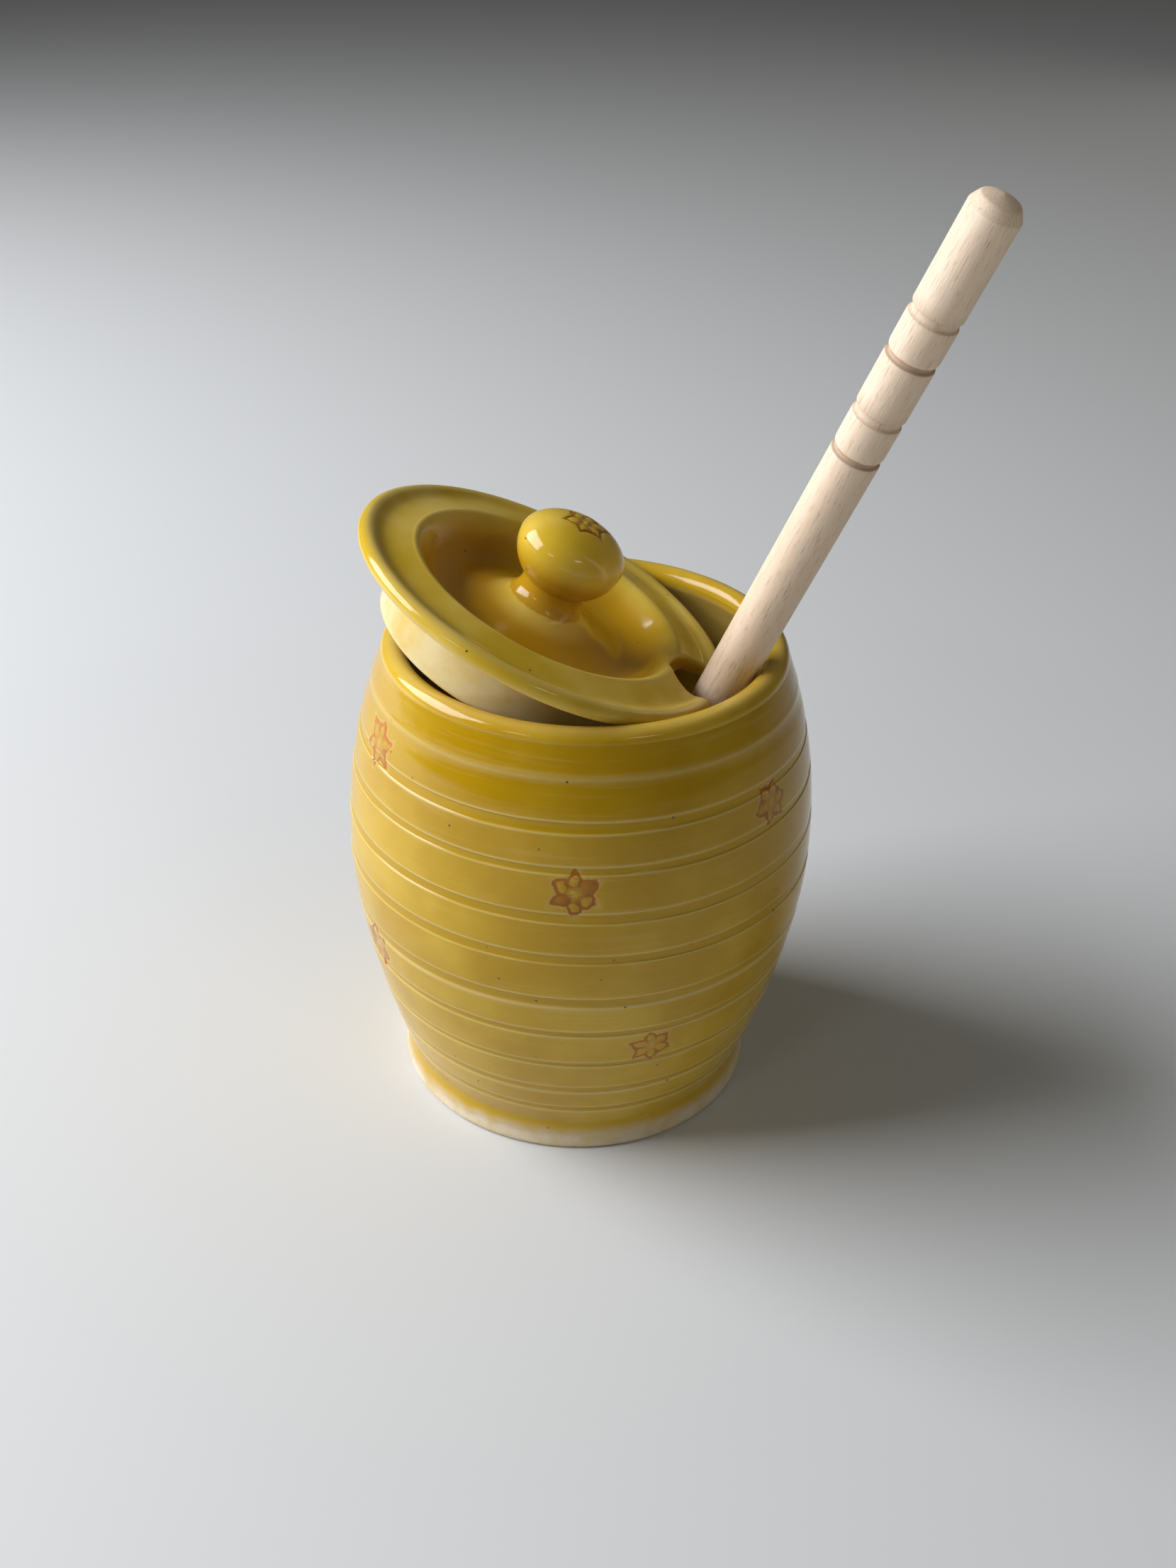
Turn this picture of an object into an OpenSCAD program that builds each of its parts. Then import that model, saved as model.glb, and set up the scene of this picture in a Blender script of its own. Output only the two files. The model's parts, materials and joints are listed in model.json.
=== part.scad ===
// Stoneware honey pot in the shape of a beehive, with a loose notched lid set askew in its mouth
// and a turned wooden dipper that leans on the rim and passes through the notch.
// Millimetres, +Z up. The origin is the centre of the pot's flat base; +X is the side the dipper leans to.

/* [Pot] */
// Height of the pot to the top of its lip
pot_h = 104.8; // [85:0.1:140]
// Diameter at the belly, the widest place
belly_d = 100; // [88:0.5:120]
// Height of the belly
belly_z = 58.4; // [48:0.1:66]
// Diameter of the flat foot
foot_d = 79.8; // [70:0.1:86]
// Diameter of the waist just above the foot
waist_d = 77; // [68:0.1:84]
// Height of the waist
waist_z = 6.8; // [5:0.1:12]
// Outer diameter of the rounded lip
lip_d = 84.2; // [78:0.1:92]
// Thickness of the rounded lip
lip_t = 5.2; // [4:0.1:7]
// Thickness of the thrown wall
wall = 5; // [3.5:0.1:7]
// Thickness of the floor
floor_t = 7; // [4:0.1:12]
// Radius of the round where floor and wall meet inside
floor_round = 10; // [4:0.5:16]
// Small round on the lower edge of the foot
foot_round = 1; // [0.4:0.1:2]
// How sharply the wall draws in below the belly
lower_bend = 1.7; // [1.3:0.05:2.4]
// How sharply the wall draws in above the belly
upper_bend = 2.2; // [1.6:0.05:3]

/* [Throwing rings] */
// Number of rings cut round the wall
ring_n = 10; // [4:1:10]
// Height of the lowest ring
ring_z0 = 11.2; // [9:0.1:14]
// Step from the lowest ring to the next
ring_step0 = 7.4; // [6:0.1:9]
// Step between the rings above
ring_step = 9.75; // [7:0.05:12]
// Depth of a ring
ring_deep = 0.7; // [0.2:0.05:1.2]
// Width of a ring
ring_w = 2.6; // [1.5:0.1:4]

/* [Lid] */
// How far the flange reaches past the middle of the lip
flange_over = 1.25; // [0.5:0.05:3]
// Thickness of the flange at its rounded edge
flange_t = 3.8; // [3:0.1:5]
// Play between the locating collar and the mouth, all round
collar_play = 6.3; // [4:0.1:9]
// Height of the collar below the flange
collar_h = 11.6; // [8:0.1:16]
// Width of the flange's top, from its edge to the ridge round the dish
flange_w = 11.3; // [9:0.1:14]
// Depth of the hollow between the edge and the ridge
flange_sag = 0.8; // [0:0.1:1.4]
// Depth of the dish below the ridge
dish_deep = 7; // [4:0.1:9]
// Angle at which the lid lies askew
lid_tilt = 24.5; // [15:0.5:28]
// How far the askew lid has slid to the left
lid_shift = 8.2; // [5:0.1:10]

/* [Knob] */
// Diameter of the knob
knob_d = 21.9; // [16:0.1:28]
// Height of the knob's widest place above the middle of the flange
knob_z = 12; // [10:0.1:18]
// Height of the knob's crown above its widest place
crown_h = 6.8; // [4:0.1:10]
// Depth of the knob's belly below its widest place, were it not cut off by the neck
knob_low = 9.2; // [7:0.1:11]
// Diameter of the neck
neck_d = 14; // [9:0.1:15]

/* [Notch] */
// Play between the dipper's handle and each side of the notch
notch_play = 2.7; // [1.5:0.1:4]
// How far the notch reaches in from the flange's edge
notch_deep = 12.3; // [8:0.1:15]
// How much each side of the notch flares out at the edge
notch_flare = 1; // [0:0.1:2]

/* [Dipper] */
// Whole length of the dipper
dipper_l = 209; // [170:0.5:260]
// Diameter of the handle
handle_d = 9.8; // [7:0.1:12]
// Largest diameter of the grooved head
head_d = 27; // [20:0.5:32]
// Length of the grooved head
head_l = 36; // [28:0.5:46]
// Number of grooves in the head
head_groove_n = 6; // [4:1:8]
// Share of the head's pitch that is groove
head_groove_part = 0.42; // [0.3:0.01:0.6]
// Diameter of the core at the bottom of the head's grooves
head_core_d = 12; // [10:0.5:16]
// From the end of the handle to its first bead
bead_start = 22.5; // [10:0.5:35]
// Length of each of the two beads turned on the handle
bead_l = 8.7; // [5:0.1:12]
// Distance between the two beads
bead_gap = 12; // [6:0.1:20]
// Depth of the grooves beside the beads
bead_deep = 0.6; // [0.2:0.05:1]
// Width of the grooves beside the beads
bead_groove_w = 1.5; // [0.8:0.1:2.5]
// Direction, seen from the pot's axis, in which the handle crosses the rim
cross_az = -18.2; // [-40:0.5:10]
// Distance from the pot's axis to the foot of the dipper
dipper_foot_r = 15.5; // [4:0.5:18]
// Direction from the pot's axis to the foot of the dipper
dipper_foot_az = 99; // [80:1:180]

/* [Fits] */
// Gap left between pieces that rest on each other
rest_gap = 0.3; // [0.2:0.05:0.6]

/* [Hidden] */
$fn = 96;

belly_r = belly_d / 2;
foot_r = foot_d / 2;
waist_r = waist_d / 2;
lip_a = lip_t / 2;
lip_r = lip_d / 2 - lip_a;
lip_z = pot_h - lip_a;
mouth_r = lip_r - lip_a;

// Height between the points of the wall's outline; inside, where it is smooth, they lie further apart
profile_step = 0.9;
inner_step = 2.7;

// Smooth curve through a short list of points: each stretch is a cubic whose slopes follow its neighbours
function bent(a, b, c, d, t) =
    0.5 * (2 * b + (c - a) * t + (2 * a - 5 * b + 4 * c - d) * t * t + (3 * b - a - 3 * c + d) * t * t * t);
function curve(p, steps) = let (n = len(p)) [
    for (i = [0:n - 2]) for (k = [0:steps - 1])
        bent(p[max(i - 1, 0)], p[i], p[i + 1], p[min(i + 2, n - 1)], k / steps),
    p[n - 1]];

// Unit vectors and distances
function unit(v) = v / norm(v);
function polar(r, az) = [r * cos(az), r * sin(az)];

// Heights of the rings: even steps, from which each ring strays a little, as it was cut by hand
ring_stray = [0, 0, -0.5, -0.2, -0.6, 1, 0.7, 1.5, 0, -0.3];
function ring_z(i) = ring_z0 + (i == 0 ? 0 : ring_step0 + (i - 1) * ring_step) + ring_stray[i];
rings = [for (i = [0:ring_n - 1]) if (ring_z(i) < lip_z - lip_t) ring_z(i)];

// Outer wall without its rings
function smooth_r(z) =
    z < waist_z ? waist_r + (foot_r - waist_r) * pow(1 - z / waist_z, 2)
    : z < belly_z ? belly_r - (belly_r - waist_r) * pow((belly_z - z) / (belly_z - waist_z), lower_bend)
    : belly_r - (belly_r - lip_d / 2) * pow((z - belly_z) / (lip_z - belly_z), upper_bend);
function ring_cut(z, i = 0) = i == len(rings) ? 0
    : max(ring_cut(z, i + 1), abs(z - rings[i]) > ring_w / 2 ? 0
        : ring_deep * pow(cos(180 * (z - rings[i]) / ring_w), 2));
function outer_r(z) = smooth_r(z) - ring_cut(z);

// Inner wall, rounded into the floor
function inner_r(z) = let (h = z - floor_t, w = smooth_r(z) - wall)
    h >= floor_round ? w : w - floor_round + sqrt(max(0, pow(floor_round, 2) - pow(floor_round - h, 2)));

// The points inside crowd towards the floor, where the wall turns into it
floor_crowd = 1.4;
wall_n = floor((lip_z - foot_round) / profile_step);
inner_n = floor((lip_z - lip_a - floor_t) / inner_step);
pot_profile = concat(
    [[0, 0], [foot_r - foot_round, 0]],
    [for (i = [0:wall_n - 1]) let (z = foot_round + (lip_z - foot_round) * i / wall_n) [outer_r(z), z]],
    [for (a = [0:12:180]) [lip_r, lip_z] + polar(lip_a, a)],
    [for (i = [inner_n:-1:0]) let (z = floor_t + (lip_z - lip_a - floor_t) * pow(i / inner_n, floor_crowd))
        [inner_r(z), z]],
    [[0, floor_t]]);

module pot() {
    color([0.78, 0.66, 0.27]) rotate_extrude() polygon(pot_profile);
}

// The lid about its own axis, with height 0 at the middle of the flange
edge_a = flange_t / 2;
flange_r = lip_r + flange_over;
collar_r = mouth_r - collar_play;
collar_low = -edge_a - collar_h;
ridge_r = flange_r - flange_w;
ridge_h = edge_a + 0.2;
dish_h = ridge_h - dish_deep;
collar_round = 1.2;
neck_r = neck_d / 2;
knob_r = knob_d / 2;
neck_angle = acos(neck_r / knob_r);
neck_top = knob_z - knob_low * sin(neck_angle);

lid_profile = concat(
    [[0, collar_low]],
    [for (a = [-90:15:0]) [collar_r - collar_round, collar_low + collar_round] + polar(collar_round, a)],
    [[collar_r, -edge_a]],
    [for (a = [-90:15:90]) [flange_r - edge_a, 0] + polar(edge_a, a)],
    curve([[flange_r - edge_a - 0.8, edge_a - 0.1], [(flange_r + ridge_r) / 2 + 0.6, edge_a - flange_sag],
        [ridge_r + 1.2, ridge_h - 0.2], [ridge_r, ridge_h], [ridge_r - 1.6, ridge_h - 1],
        [ridge_r - 5, dish_h + 1.6], [ridge_r - 9.4, dish_h], [neck_r + 7.5, dish_h + 1.3],
        [neck_r + 3.2, dish_h + 3.4], [neck_r + 1, dish_h + 5.2], [neck_r, neck_top - 2]], 3),
    [for (a = [-neck_angle:12:0]) [knob_r * cos(a), knob_z + knob_low * sin(a)]],
    [for (a = [0:9:90]) [knob_r * cos(a), knob_z + crown_h * sin(a)]]);

// How high the askew lid comes to rest: the highest drop at which a point below it meets the lip
lid_x = [cos(lid_tilt), 0, -sin(lid_tilt)];
lid_y = [0, 1, 0];
lid_n = [sin(lid_tilt), 0, cos(lid_tilt)];
function lid_point(r, az, h) = r * cos(az) * lid_x + r * sin(az) * lid_y + h * lid_n;
function lip_top(r) = let (d = abs(r - lip_r), a = lip_a + rest_gap) d < a ? lip_z + sqrt(a * a - d * d) : 0;
under_lid = concat(
    [for (a = [-90:30:60]) [flange_r - edge_a + edge_a * cos(a), edge_a * sin(a)]],
    [[(flange_r + collar_r) / 2, -edge_a], [collar_r, -edge_a], [collar_r, -edge_a - collar_h / 2]],
    [for (a = [-90:30:0]) [collar_r - collar_round + collar_round * cos(a),
        collar_low + collar_round + collar_round * sin(a)]]);
lid_rise = max([for (p = under_lid) for (az = [0:3:180])
    let (q = lid_point(p[0], az, p[1])) lip_top(norm([q[0] - lid_shift, q[1]])) - q[2]]);
lid_at = [-lid_shift, 0, lid_rise];

// The dipper about its own axis, with height 0 at the tip of its head
handle_r = handle_d / 2;
head_r = head_d / 2;
head_mid = head_l / 2;
// Half the length of the ellipse that the head's outline is cut from, as a share of the head's length
head_swell = 0.62;
function head_env(s) = head_r * sqrt(max(0, 1 - pow((s - head_mid) / (head_swell * head_l), 2)));
head_pitch = head_l / (head_groove_n + 1 - head_groove_part);
groove_w = head_pitch * head_groove_part;
disc_w = head_pitch - groove_w;
disc_soft = 0.5;
module dipper_disc(s) {
    polygon([[0, s], [head_env(s) - disc_soft, s], [head_env(s + disc_soft), s + disc_soft],
        [head_env(s + disc_w / 2), s + disc_w / 2],
        [head_env(s + disc_w - disc_soft), s + disc_w - disc_soft],
        [head_env(s + disc_w) - disc_soft, s + disc_w], [0, s + disc_w]]);
}
// The handle's end: a chamfer with a low dome on it
end_cut = 1;
end_h = 1.7;
dome_h = 0.2;
neck_l = 7;
groove_lean = 0.3;
bead_at = [for (k = [0, 1]) dipper_l - bead_start - k * (bead_l + bead_gap)];
handle_cuts = [for (b = bead_at) for (s = [b, b - bead_l]) s];
module handle_profile() {
    difference() {
        polygon(concat(
            [[0, disc_w / 2], [head_core_d / 2, disc_w / 2], [head_core_d / 2, head_l - disc_w / 2]],
            curve([[head_core_d / 2 + 0.4, head_l], [handle_r + 0.3, head_l + neck_l * 0.6],
                [handle_r, head_l + neck_l]], 4),
            [[handle_r, dipper_l - end_h - end_cut], [handle_r - end_cut, dipper_l - end_cut],
                [handle_r * 0.4, dipper_l - dome_h], [0, dipper_l]]));
        for (s = handle_cuts)
            translate([handle_r, s]) polygon([
                [-bead_deep, -bead_groove_w / 2], [1, -bead_groove_w / 2 - groove_lean],
                [1, bead_groove_w / 2 + groove_lean], [-bead_deep, bead_groove_w / 2]]);
    }
}

// Where the dipper rests: its handle on the lip, the lowest edge of its head on the floor
function lean(q, tip_z) = unit([each polar(q, cross_az), lip_z]
    - [each polar(dipper_foot_r, dipper_foot_az), tip_z]);
function line_gap(q, w) = min([for (az = [cross_az - 40:1:cross_az + 40])
    let (v = [each polar(lip_r, az), lip_z] - [each polar(q, cross_az), lip_z]) norm(v - (v * w) * w)]);
head_points = concat([[0, 0]], [for (k = [0:head_groove_n]) let (s = k * head_pitch)
    for (e = [0, disc_soft]) [s + e, head_env(s + e) - (disc_soft - e)]]);
function tip_rise(w) = floor_t + rest_gap
    - min([for (p = head_points) p[0] * w[2] - p[1] * norm([w[0], w[1]])]);
function settle(q, tip_z, n) = let (w = lean(q, tip_z)) n == 0 ? [q, tip_z]
    : settle(q + line_gap(q, w) - lip_a - handle_r - rest_gap, tip_rise(w), n - 1);
dipper_rest = settle(mouth_r - handle_r, floor_t, 12);
dipper_tip = [each polar(dipper_foot_r, dipper_foot_az), dipper_rest[1]];
dipper_dir = lean(dipper_rest[0], dipper_rest[1]);
dipper_tilt = acos(dipper_dir[2]);
dipper_az = atan2(dipper_dir[1], dipper_dir[0]);

module dipper() {
    color([0.86, 0.74, 0.58])
    translate(dipper_tip) rotate([0, 0, dipper_az]) rotate([0, dipper_tilt, 0])
    rotate_extrude() {
        for (k = [0:head_groove_n]) dipper_disc(k * head_pitch);
        handle_profile();
    }
}

// The notch lies where the dipper's axis crosses the lid
notch_r = handle_r + notch_play;
notch_end = flange_r - notch_deep;
cross_lid = let (v = dipper_tip - lid_at) v - dipper_dir * ((v * lid_n) / (dipper_dir * lid_n));
notch_az = atan2(cross_lid * lid_y, cross_lid * lid_x);
module notch() {
    far = flange_r + 2;
    linear_extrude(height = 4 * collar_h, center = true) {
        translate([notch_end + notch_r, 0]) circle(r = notch_r);
        polygon([[notch_end + notch_r, -notch_r], [far, -notch_r - notch_flare],
            [far, notch_r + notch_flare], [notch_end + notch_r, notch_r]]);
    }
}

module lid() {
    color([0.74, 0.6, 0.2])
    translate(lid_at) rotate([0, lid_tilt, 0])
    difference() {
        rotate_extrude() polygon(lid_profile);
        rotate([0, 0, notch_az]) notch();
    }
}

pot();
lid();
dipper();
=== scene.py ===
"""Honey pot in the shape of a beehive, with a loose notched lid and a turned dipper.

Shapes are worked out in millimetres, each piece about its own axis, and scaled to metres when they
become meshes. The lid and the dipper are placed by the far ends of their CAD nodes.
"""
import json
import math

import bpy
import numpy as np
from mathutils import Matrix, Vector


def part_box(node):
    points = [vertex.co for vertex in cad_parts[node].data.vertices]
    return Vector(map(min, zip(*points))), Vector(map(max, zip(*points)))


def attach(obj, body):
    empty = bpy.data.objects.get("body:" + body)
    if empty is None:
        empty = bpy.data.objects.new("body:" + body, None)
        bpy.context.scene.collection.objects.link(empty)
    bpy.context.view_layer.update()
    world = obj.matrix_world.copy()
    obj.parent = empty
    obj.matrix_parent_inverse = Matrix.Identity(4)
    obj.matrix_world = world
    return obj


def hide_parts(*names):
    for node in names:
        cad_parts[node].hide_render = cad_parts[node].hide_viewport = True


MM = 0.001
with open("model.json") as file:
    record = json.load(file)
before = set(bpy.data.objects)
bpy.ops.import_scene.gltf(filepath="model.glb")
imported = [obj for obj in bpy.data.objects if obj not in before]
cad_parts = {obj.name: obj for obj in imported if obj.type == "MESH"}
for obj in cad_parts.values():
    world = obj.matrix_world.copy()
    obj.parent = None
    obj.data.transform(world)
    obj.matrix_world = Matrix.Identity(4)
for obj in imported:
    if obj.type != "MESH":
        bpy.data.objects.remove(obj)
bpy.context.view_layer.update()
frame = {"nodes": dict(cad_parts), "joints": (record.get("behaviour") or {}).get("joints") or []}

# Pot, in millimetres
POT_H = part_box("pot")[1].z / MM
BELLY_R = 49.93
BELLY_Z = 58.4
FOOT_R = 39.85
FOOT_ROUND = 1.0
WAIST_R = 38.5
WAIST_Z = 6.8
LIP_A = 2.6
LIP_R = 39.45
LIP_Z = POT_H - LIP_A
LIP_DROP = 0.12
WALL = 5.0
FLOOR_T = 7.0
FLOOR_ROUND = 10.0
LOWER_BEND = 1.7
UPPER_BEND = 2.2

# The glazed wall lies this far inside the solid's, and is this much out of round
WALL_INSET = 0.12
INNER_INSET = 0.15
OUT_OF_ROUND = 0.1

# Throwing rings: height, half width of the channel, and how far its lower edge is drawn out
RINGS = (
    (12.4, 0.60, 0.25), (19.6, 0.70, 0.35), (28.3, 0.50, 0.15), (38.0, 0.65, 0.15), (47.4, 0.95, 0.45),
    (58.9, 1.05, 0.0), (68.6, 1.08, 0.0), (78.8, 0.75, 0.0), (87.1, 0.85, 0.0),
)
RING_DEEP = 0.2
RING_LOW_SOFT = 0.15
RING_HIGH_SOFT = 0.2
RING_WIDE_VARIES = 0.16
RING_DEEP_VARIES = 0.2
RIDGE_Z = 96.2
RIDGE_UP = 0.1
BAND_CROWN = 0.06
INNER_RING_DEEP = 0.16
FINE_STEP = 0.13
COARSE_STEP = 0.38

# Pale lines along a ring's upper and lower edge: how far off the edge, soft width and strength
UPPER_LINE = (0.3, 0.25, 0.8)
LOWER_LINE = (0.2, 0.17, 0.9)
LINE_UP = 0.02

# How far the rings wander up and down, and how slowly that changes with height
WANDER = ((0.35, 17.0), (0.3, 11.0))

# Flower stamps: azimuth in degrees, height, turn in degrees, size and seed of the drawing
STAMPS = (
    (-90.5, 74.2, 90, 1.0, 28.21),
    (-37.5, 83.4, 68, 1.0, 4.4),
    (-69.8, 32.7, 40, 0.92, 27.9),
    (-151.2, 90.0, 84, 1.05, 29.9),
    (-149.9, 42.4, 100, 1.0, 51.2),
    (146.0, 66.0, 75, 1.0, 8.2),
    (98.0, 88.5, 96, 1.0, 43.2),
    (76.0, 47.0, 60, 1.0, 57.8),
    (27.0, 70.0, 88, 1.0, 21.3),
    (8.0, 35.0, 110, 0.95, 36.0),
)

# Stamp on the knob's crown: its place from the axis, turn in degrees, size and seed
CROWN_STAMP = (0.2, 0.0, 17, 0.98, 20.4)

# A flower's drawing: its petals' number, distance, length and width, its reach, and half a line's width
PETALS = 6
PETAL_AT = 2.85
PETAL_LONG = 1.75
PETAL_WIDE = 1.1
STAMP_REACH = 8.0
NO_STAMP = 99.0
INK_HALF = 0.34

# How deep the flowers are pressed into the pot and the knob, and where a line's edge is soft
PRESSED = 0.1
CROWN_PRESSED = 0.22
PRESS_SOFT = (0.1, 0.6)

# Glaze edge above the bare foot: its height, and its drips, each an azimuth, a depth and a width in degrees
GLAZE_Z = 3.5
DRIPS = (
    (-155.0, 1.0, 24.0), (-126.0, 0.6, 3.0), (-117.0, 0.35, 2.5), (-148.0, 0.3, 4.0),
    (-60.0, 0.2, 5.0), (40.0, 0.6, 4.0), (105.0, 0.4, 5.0), (170.0, 0.7, 4.0),
)
GLAZE_THICK = 0.12
GLAZE_BEAD = 0.1

# Heights over the glaze's edge that stand for a surface all bare, and all glazed
BARE = -9.0
GLAZED = 9.0

# Lid, in millimetres about its own axis, height 0 at the middle of the flange
LID_TILT = math.radians(24.5)
FLANGE_R = 40.75
EDGE_A = 1.9
COLLAR_R = 30.8
COLLAR_LOW = -14.2
COLLAR_ROUND = 0.9
RIDGE_R = 29.45
RIDGE_H = 2.1
DISH_H = -4.9
NECK_R = 6.75
KNOB_R = 11.2
KNOB_Z = 12.0
CROWN_H = 6.8
KNOB_LOW = 9.7
NOTCH_R = 7.6
NOTCH_END = 28.45
NOTCH_FLARE = 1.0
NOTCH_AZ = math.radians(-11.58)
NOTCH_SOFT = 1.1
LID_SAG = 0.16
LID_FAT = 0.12
LID_AMBER = 0.1
TABLE_CELL = 0.12
LID_STEP = 0.42

# Dipper, in millimetres about its own axis, height 0 at the tip of its head
DIPPER_L = 209.0
HANDLE_R = 4.88
HEAD_R = 13.5
HEAD_L = 36.0
HEAD_SWELL = 0.62
HEAD_GROOVES = 6
HEAD_GROOVE_PART = 0.42
HEAD_CORE_R = 6.0
DISC_SOFT = 0.55
NECK_L = 7.0
ROW_STEP = 1.5

# Grooves across the handle that set off two beads: distance from its end, and whether the groove is wide
BEAD_START = 22.5
BEAD_L = 8.7
BEAD_GAP = 12.0
CUTS = (
    (BEAD_START, True), (BEAD_START + BEAD_L, False), (BEAD_START + BEAD_L + BEAD_GAP, True),
    (BEAD_START + 2 * BEAD_L + BEAD_GAP, False),
)

# A groove's half width, its depth, how far painted shade reaches from its middle and how strongly
WIDE_CUT = (0.78, 0.42, 0.95, 0.35)
SHARP_CUT = (0.42, 0.55, 0.6, 1.0)

# Camera
CAMERA_AT = (1.444, -314.243, 258.619)
CAMERA_PITCH = math.radians(31.131)
CAMERA_ROLL = math.radians(-1.764)
FOCAL_PX = 2400.0
PHOTO_H = 2212.0
SENSOR_MM = 36.0

# Area lights: name, azimuth, elevation, distance and size in metres, power in watts, colour, and whether
# glossy surfaces reflect the light
LIGHTS = (
    ("window", 176, 33, 1.1, (0.9, 0.75), 22.3, (0.925, 0.945, 1.0), True),
    ("front_fill", -42, 10, 1.5, (1.2, 1.2), 1.7, (1.0, 0.93, 0.74), False),
    ("back_fill", 42, 12, 1.5, (1.2, 1.2), 1.6, (1.0, 0.95, 0.8), False),
    ("glint_left", -126, 28, 1.5, (0.3, 0.05), 0.8, (1, 1, 1), True),
    ("glint_right", -56, 34, 1.5, (0.3, 0.05), 0.7, (1, 1, 1), True),
)
LIGHTS_AIM = Vector((0, 0, 0.08))
WORLD_TONE = (0.96, 0.96, 0.9)
WORLD_STRENGTH = 0.07
FLOOR_HALF = 4.0
FLOOR_TONE = (0.66, 0.665, 0.655)

# Colours of the glaze, the bare clay and the ink, as linear values
HONEY = (0.50, 0.295, 0.006)
HONEY_LIGHT = (0.60, 0.385, 0.026)
# Paler copies of the pot's two honey colours for the lid: painted light for its top, which faces the window
HONEY_LID_LIT = (0.66, 0.44, 0.03)
HONEY_PALE_LIT = (0.78, 0.57, 0.12)
POOL = (0.48, 0.285, 0.002)
# Deep colour of the lid's pooled dish, also painted shade under the knob and on the notch walls
LID_POOL_AND_SHADE = (0.50, 0.25, 0.001)
# Amber: the glaze's deeper tone, and painted shade on the pot's upper wall
AMBER = (0.40, 0.22, 0.001)
HONEY_EDGE = (0.55, 0.34, 0.004)
BREAK = (0.70, 0.56, 0.22)
CREAM = (0.72, 0.60, 0.34)
INK = (0.46, 0.155, 0.001)
INK_DEEP = (0.30, 0.095, 0.001)
CLAY = (0.70, 0.60, 0.45)
CLAY_WARM = (0.64, 0.50, 0.26)
SPECK = (0.12, 0.06, 0.01)

# Colours of the wood
WOOD = (0.87, 0.69, 0.52)
WOOD_DARK = (0.81, 0.62, 0.44)
WOOD_FLECK = (0.58, 0.40, 0.26)
WOOD_FIBRE = (0.87, 0.73, 0.57)
# Painted shade for the handle's grooves
WOOD_GROOVE = (0.36, 0.21, 0.11)


def smoothstep(low, high, x):
    t = np.clip((x - low) / (high - low), 0, 1)
    return t * t * (3 - 2 * t)


def hump(x, at, wide):
    """A smooth bump, 1 at a place and falling away over a width to both sides."""
    return np.exp(-((x - at) / wide) ** 2)


def waves(az, count, seed, lowest=1):
    """A smooth closed wave round the axis, between about -1 and 1."""
    draw = np.random.default_rng(seed)
    total = np.zeros_like(az)
    for k in range(lowest, lowest + count):
        total += draw.normal() / k * np.cos(k * az + draw.uniform(0, 2 * math.pi))
    return total / 1.6


def make_mesh(name, verts, faces, attributes=None, turn=None, at=(0, 0, 0)):
    """A smooth-shaded mesh object from points in millimetres about the piece's own axis.

    Each array given becomes an attribute. "place" keeps each point as it was before the piece was turned
    and moved.
    """
    own = np.asarray(verts) * MM
    world = own @ np.array(turn).T + np.array(at) if turn else own
    mesh = bpy.data.meshes.new(name)
    mesh.from_pydata(world.tolist(), [], [list(f) for group in faces for f in group.tolist()])
    mesh.polygons.foreach_set("use_smooth", np.ones(len(mesh.polygons), bool))
    for key, values in {"place": own, **(attributes or {})}.items():
        values = np.asarray(values, np.float32)
        if values.ndim == 2:
            made = mesh.attributes.new(key, "FLOAT_VECTOR", "POINT")
            made.data.foreach_set("vector", values.reshape(-1))
        else:
            made = mesh.attributes.new(key, "FLOAT", "POINT")
            made.data.foreach_set("value", values)
    mesh.update()
    piece = bpy.data.objects.new(name, mesh)
    bpy.context.scene.collection.objects.link(piece)
    return piece


def ring_faces(rows, around):
    """Quads of a closed grid of rows, each with `around` points, counter-clockwise seen from outside."""
    a = np.arange(rows - 1)[:, None] * around + np.arange(around)[None, :]
    b = np.arange(rows - 1)[:, None] * around + (np.arange(around)[None, :] + 1) % around
    return np.stack([a, b, b + around, a + around], -1).reshape(-1, 4)


def turned(name, radius, height, attributes=None, turn=None, at=(0, 0, 0)):
    """A mesh from grids of radius and height, rows by azimuth, closed by a point at each end of the axis."""
    rows, around = radius.shape
    az = np.linspace(0, 2 * math.pi, around, endpoint=False)
    verts = np.stack([radius * np.cos(az), radius * np.sin(az), height], -1).reshape(-1, 3)
    ends = np.array([[0, 0, height[0].mean()], [0, 0, height[-1].mean()]])
    k = np.arange(around)
    first = np.stack([np.full(around, rows * around), (k + 1) % around, k], -1)
    top = (rows - 1) * around
    last = np.stack([np.full(around, rows * around + 1), top + k, top + (k + 1) % around], -1)
    extra = {}
    for key, grid in (attributes or {}).items():
        flat = grid.reshape(-1, 3) if grid.ndim == 3 else grid.reshape(-1)
        extra[key] = np.concatenate([flat, [grid[0, 0], grid[-1, 0]]])
    faces = [ring_faces(rows, around), first, last]
    return make_mesh(name, np.vstack([verts, ends]), faces, extra, turn, at)


def petal_distance(u, v, seed):
    """Distance in millimetres to the outline of a six-petalled flower, negative inside a petal."""
    turn = np.arctan2(v, u) * PETALS / (2 * math.pi)
    off = (turn - np.round(turn)) * 2 * math.pi / PETALS
    petal = np.mod(np.round(turn) + PETALS, PETALS)
    reach = np.hypot(u, v)
    along = (reach * np.cos(off) - PETAL_AT) / (PETAL_LONG * (1 + 0.14 * np.sin(2.3 * petal + seed)))
    point = 0.45 + 0.4 * np.sin(1.9 * seed)
    wide = (PETAL_WIDE + 0.6 * point) * (1 - point * np.clip(along, 0, 1))
    return (np.hypot(along, reach * np.sin(off) / wide) - 1) * PETAL_WIDE


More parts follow.
